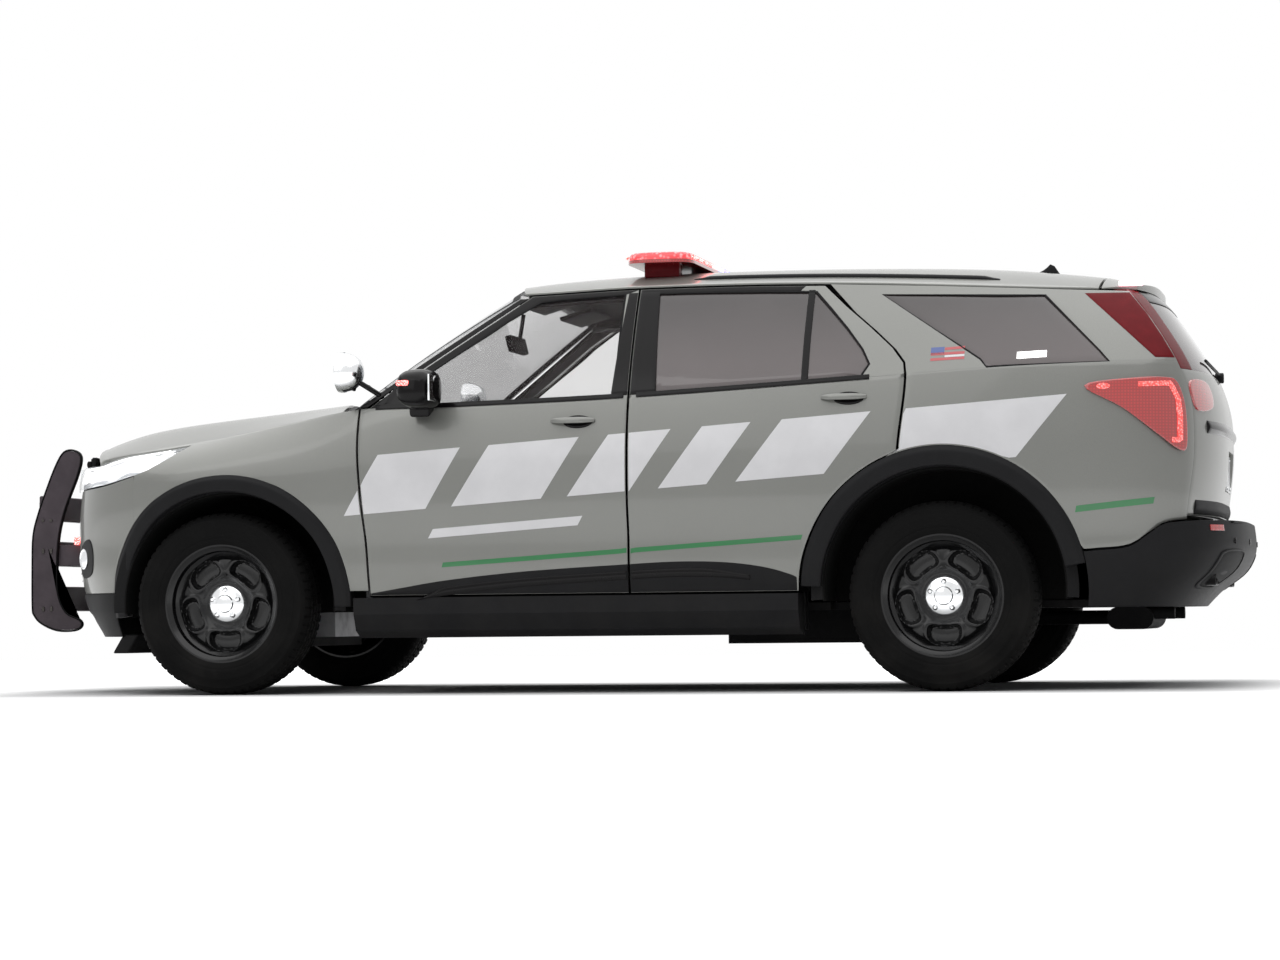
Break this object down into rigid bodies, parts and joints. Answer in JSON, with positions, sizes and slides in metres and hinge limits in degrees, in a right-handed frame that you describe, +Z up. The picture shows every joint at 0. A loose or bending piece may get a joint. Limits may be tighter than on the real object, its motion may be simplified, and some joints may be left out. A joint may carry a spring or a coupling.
{
  "type": "police sport utility vehicle",
  "caption": "Four-door police sport utility vehicle with push bumper, spot lamps and roof light bar, on steel wheels, with swinging doors, hood, tailgate and steering.",
  "frame": {"origin": "on the ground under the middle of the vehicle's box", "axes": "+X to the rear, +Y to the right, +Z up"},
  "size_m": [5.2971, 2.3788, 1.834],
  "materials": {
    "body_paint": "satin",
    "black_trim": "grained",
    "underbody": "matt",
    "clear_glass": "polished",
    "lamp_clear": "clear lens",
    "lamp_red": "red lens",
    "steel_black": "semi gloss",
    "tyre_rubber": "matt",
    "bare_steel": "dull",
    "cast_alloy": "cast",
    "cabin_plastic": "soft grained",
    "seat_fabric": "woven",
    "push_bar": "powder coat"
  },
  "bodies": {
    "body": {"floor_pan": "underbody", "cabin_frame": "black_trim", "front_frame": "underbody", "wheel_liners": "black_trim", "quarter_panels": "body_paint", "roof": "body_paint", "cowl": "black_trim", "fenders": "body_paint", "front_bumper": "body_paint", "grille": "black_trim", "headlamps": "lamp_clear", "tail_lamps": "lamp_red", "rear_bumper": "black_trim", "arch_trims": "black_trim", "sill_trims": "black_trim", "windscreen": "clear_glass", "quarter_glass": "clear_glass", "light_bar": "lamp_clear", "spot_lamps": "black_trim", "roof_fin": "black_trim", "push_bumper": "push_bar", "engine": "cast_alloy", "front_suspension": "underbody", "rear_suspension": "underbody", "exhaust": "bare_steel", "fuel_tank": "underbody", "dashboard": "cabin_plastic", "steering_wheel": "cabin_plastic", "front_seats": "seat_fabric", "rear_seat": "seat_fabric"},
    "hood": {"hood": "body_paint"},
    "tailgate": {"tailgate": "body_paint", "tailgate_glass": "clear_glass", "spoiler": "body_paint"},
    "door_fl": {"door_fl": "body_paint", "glass_fl": "clear_glass", "mirror_left": "black_trim"},
    "door_fr": {"door_fr": "body_paint", "glass_fr": "clear_glass", "mirror_right": "black_trim"},
    "door_rl": {"door_rl": "body_paint", "glass_rl": "clear_glass"},
    "door_rr": {"door_rr": "body_paint", "glass_rr": "clear_glass"},
    "knuckle_left": {"knuckle_left": "cast_alloy"},
    "knuckle_right": {"knuckle_right": "cast_alloy"},
    "wheel_fl": {"wheel_fl": "steel_black", "tyre_fl": "tyre_rubber"},
    "wheel_fr": {"wheel_fr": "steel_black", "tyre_fr": "tyre_rubber"},
    "wheel_rl": {"wheel_rl": "steel_black", "tyre_rl": "tyre_rubber"},
    "wheel_rr": {"wheel_rr": "steel_black", "tyre_rr": "tyre_rubber"}
  },
  "joints": [
    {"name": "steer_left", "type": "hinge", "parent": "body", "child": "knuckle_left", "pos_m": [-1.5565, -0.801, 0.381], "axis": [0, 0, 1], "range_deg": [-35, 35]},
    {"name": "steer_right", "type": "hinge", "parent": "body", "child": "knuckle_right", "pos_m": [-1.5565, 0.801, 0.381], "axis": [0, 0, 1], "range_deg": [-35, 35]},
    {"name": "wheel_fl_spin", "type": "hinge", "parent": "knuckle_left", "child": "wheel_fl", "pos_m": [-1.5565, -0.851, 0.381], "axis": [0, 1, 0], "continuous": true},
    {"name": "wheel_fr_spin", "type": "hinge", "parent": "knuckle_right", "child": "wheel_fr", "pos_m": [-1.5565, 0.851, 0.381], "axis": [0, 1, 0], "continuous": true},
    {"name": "wheel_rl_spin", "type": "hinge", "parent": "body", "child": "wheel_rl", "pos_m": [1.4685, -0.851, 0.381], "axis": [0, 1, 0], "continuous": true},
    {"name": "wheel_rr_spin", "type": "hinge", "parent": "body", "child": "wheel_rr", "pos_m": [1.4685, 0.851, 0.381], "axis": [0, 1, 0], "continuous": true},
    {"name": "door_fl_swing", "type": "hinge", "parent": "body", "child": "door_fl", "pos_m": [-0.8855, -0.987, 0.8], "axis": [0, 0, -1], "range_deg": [0, 65]},
    {"name": "door_fr_swing", "type": "hinge", "parent": "body", "child": "door_fr", "pos_m": [-0.8855, 0.987, 0.8], "axis": [0, 0, 1], "range_deg": [0, 65]},
    {"name": "door_rl_swing", "type": "hinge", "parent": "body", "child": "door_rl", "pos_m": [0.2585, -0.987, 0.8], "axis": [0, 0, -1], "range_deg": [0, 65]},
    {"name": "door_rr_swing", "type": "hinge", "parent": "body", "child": "door_rr", "pos_m": [0.2585, 0.987, 0.8], "axis": [0, 0, 1], "range_deg": [0, 65]},
    {"name": "hood_lift", "type": "hinge", "parent": "body", "child": "hood", "pos_m": [-1.0215, 0, 1.172], "axis": [0, 1, 0], "range_deg": [0, 45]},
    {"name": "tailgate_lift", "type": "hinge", "parent": "body", "child": "tailgate", "pos_m": [2.0835, 0, 1.702], "axis": [0, -1, 0], "range_deg": [0, 80]}
  ],
  "couplings": [
    {"joint": "steer_right", "follows": "steer_left", "ratio": 1}
  ]
}
